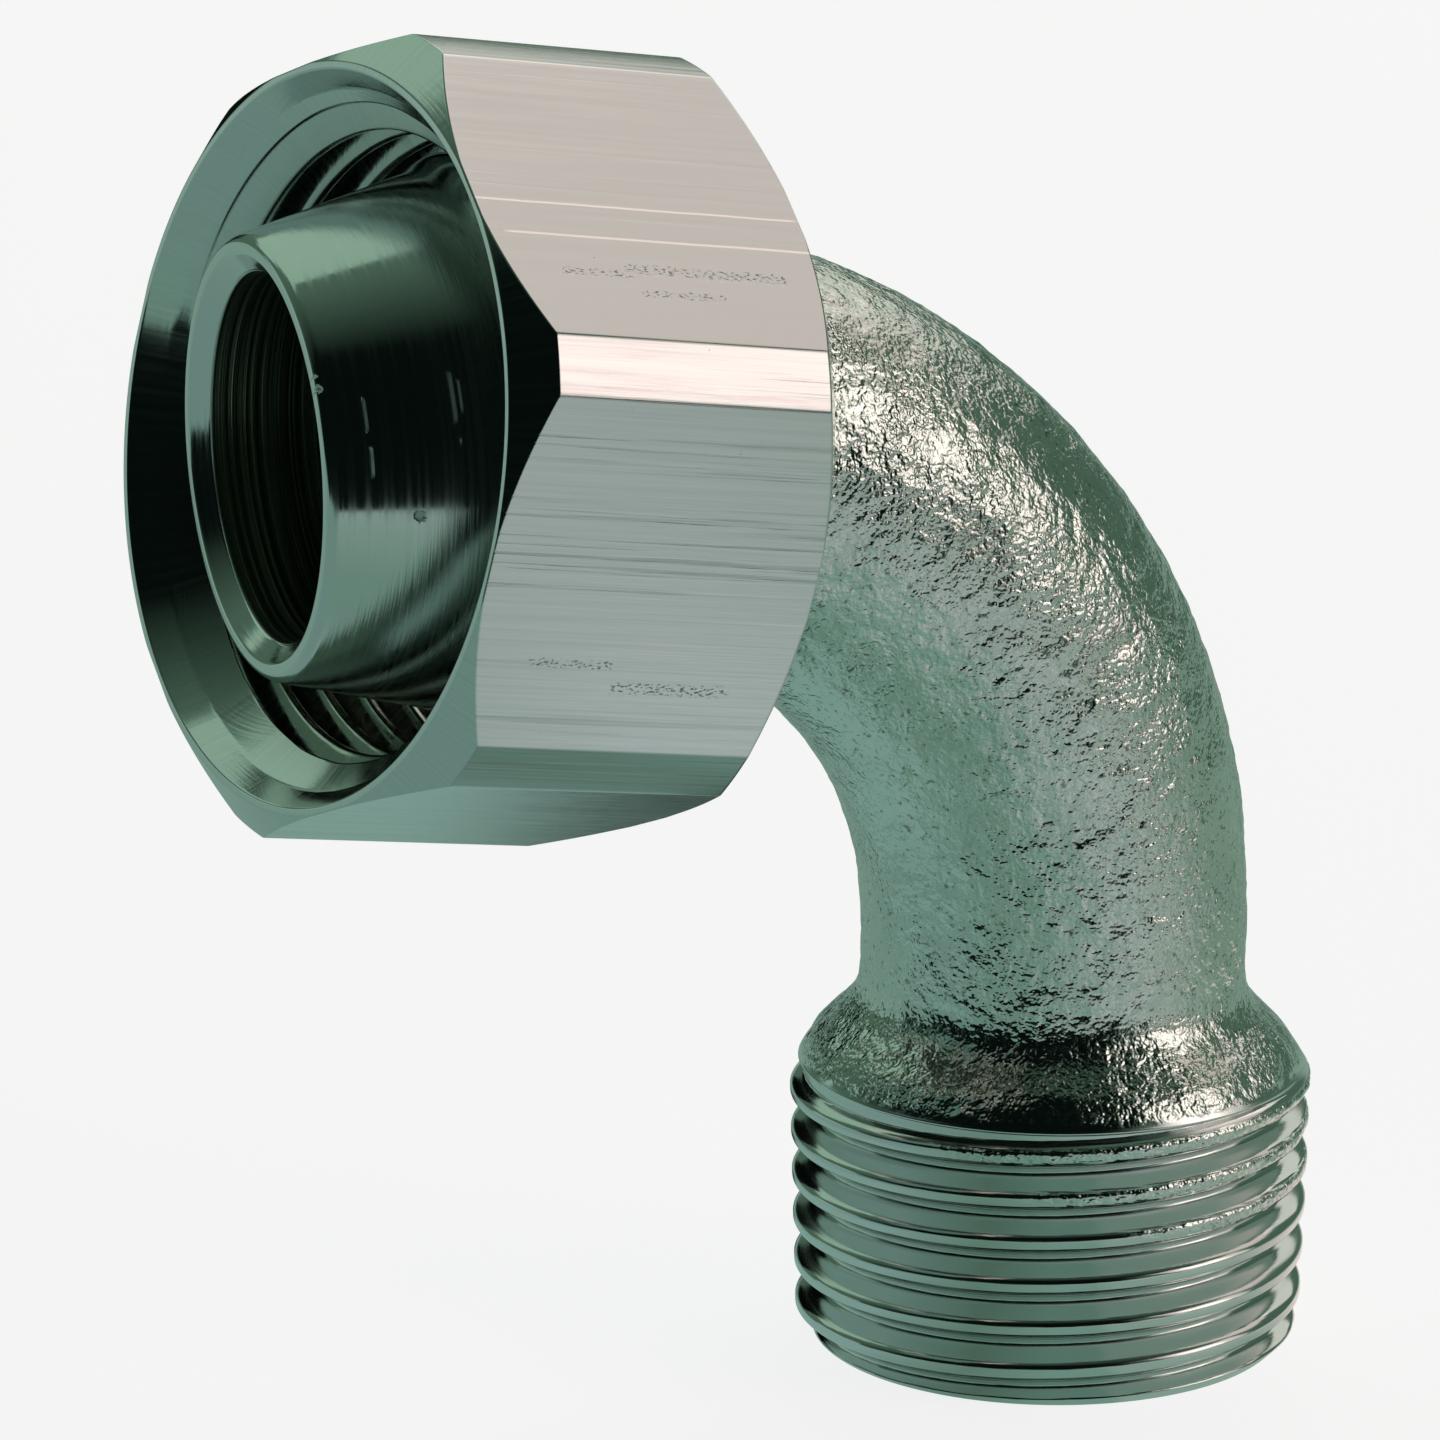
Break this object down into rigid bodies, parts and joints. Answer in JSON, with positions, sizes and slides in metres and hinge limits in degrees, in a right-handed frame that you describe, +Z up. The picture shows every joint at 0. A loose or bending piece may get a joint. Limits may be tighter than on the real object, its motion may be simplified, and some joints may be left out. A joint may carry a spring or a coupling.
{
  "type": "union elbow",
  "caption": "Right-angle pipe union: forged plated elbow with a male pipe thread and a loose hexagonal union nut on a conical spigot.",
  "frame": {"origin": "centre of the male thread's end face", "axes": "+Z up the male thread's axis into the elbow; the spigot points along -X"},
  "size_m": [0.0462, 0.0319, 0.0561],
  "materials": {
    "plated_forging": "nickel-plated forged brass, grainy as-forged skin with bright machined ends",
    "plated_nut": "bright nickel-plated machined brass with drawn-bar lines on its flats"
  },
  "bodies": {
    "elbow": {"elbow_body": "plated_forging"},
    "nut": {"union_nut": "plated_nut"}
  },
  "joints": [
    {"name": "nut_spin", "type": "hinge", "parent": "elbow", "child": "nut", "pos_m": [-0.03205, -0.0009, 0.04046], "axis": [-0.9701, -0.1676, 0.1754], "continuous": true}
  ]
}
